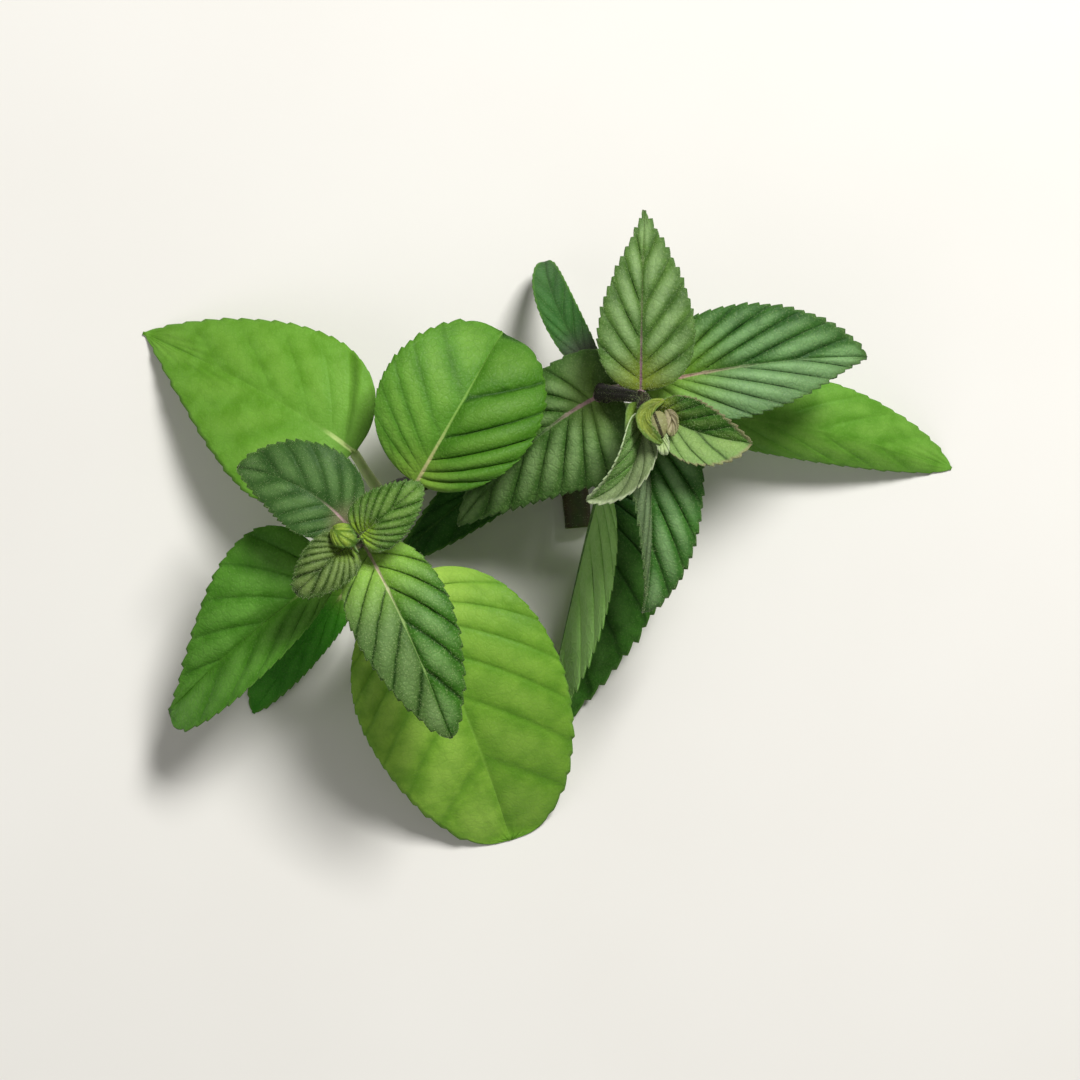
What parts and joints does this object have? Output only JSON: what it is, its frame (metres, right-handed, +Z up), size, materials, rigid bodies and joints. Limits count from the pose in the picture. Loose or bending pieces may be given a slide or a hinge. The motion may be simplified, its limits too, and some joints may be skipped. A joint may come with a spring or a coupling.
{
  "type": "mint sprig",
  "caption": "Cut mint sprig lying on a surface, with a forked square stem and two upturned tips of opposite toothed leaves.",
  "frame": {"origin": "middle of the outline seen from above, on the surface that the sprig lies on", "axes": "+Z up from the surface; +X from the left tip towards the right tip, the longest way; +Y to the back, away from the stem's cut end"},
  "size_m": [0.128, 0.0966, 0.0473],
  "materials": {
    "stem": "satin green-brown skin, purple at the leaf nodes",
    "bud": "soft satin, fine hairs",
    "young_leaf": "soft satin, fine hairs, purple ribs",
    "upper_leaf": "satin, puckered between the veins",
    "lower_leaf": "smooth satin"
  },
  "bodies": {
    "root": {"stem": "stem", "left_bud": "bud", "left_leaf_1_right": "young_leaf", "left_leaf_1_front": "young_leaf", "left_leaf_2_back": "young_leaf", "left_leaf_2_front": "young_leaf", "left_leaf_3_back": "upper_leaf", "left_leaf_3_front": "upper_leaf", "left_leaf_4_back": "lower_leaf", "left_leaf_4_front": "lower_leaf", "left_leaf_5_front": "lower_leaf", "right_bud": "bud", "right_leaf_1_right": "young_leaf", "right_leaf_1_front": "young_leaf", "right_leaf_2_back": "young_leaf", "right_leaf_2_front": "young_leaf", "right_leaf_3_right": "upper_leaf", "right_leaf_3_left": "upper_leaf", "right_leaf_4_back": "upper_leaf", "right_leaf_4_front": "upper_leaf", "right_leaf_5_right": "lower_leaf", "right_leaf_5_left": "lower_leaf"}
  },
  "joints": []
}
